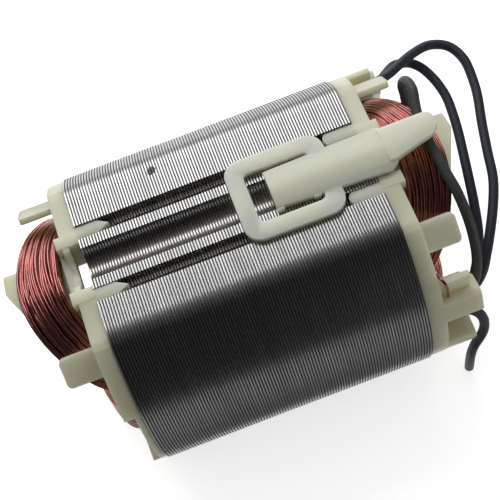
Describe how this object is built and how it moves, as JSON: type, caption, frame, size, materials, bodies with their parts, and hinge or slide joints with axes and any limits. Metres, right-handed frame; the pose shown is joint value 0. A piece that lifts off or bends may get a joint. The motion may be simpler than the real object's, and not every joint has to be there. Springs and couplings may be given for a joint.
{
  "type": "wound stator",
  "caption": "Wound two-pole stator of a universal motor: laminated steel stack, ivory end frames, copper field coils, coil clip and black leads.",
  "frame": {"origin": "centre of the armature bore at the middle of the lamination stack", "axes": "+X along the bore towards the end with the leads, +Z through the pole that carries the coil clip, +Y completes a right-handed frame"},
  "size_m": [0.0922, 0.0534, 0.0464],
  "materials": {
    "electrical_steel": "stamped sheet edges, satin",
    "ivory_nylon": "moulded, slightly translucent",
    "enamelled_copper": "glossy enamel over copper wire",
    "slot_paper": "pressed insulating paper",
    "black_sleeve": "soft satin"
  },
  "bodies": {
    "root": {"lamination_stack": "electrical_steel", "front_end_frame": "ivory_nylon", "rear_end_frame": "ivory_nylon", "coil_clip": "ivory_nylon", "upper_coil": "enamelled_copper", "lower_coil": "enamelled_copper", "upper_near_liner": "slot_paper", "upper_far_liner": "slot_paper", "lower_near_liner": "slot_paper", "lower_far_liner": "slot_paper", "outer_lead": "black_sleeve", "inner_lead": "black_sleeve", "coil_lead": "black_sleeve", "tail_lead": "black_sleeve"}
  },
  "joints": []
}
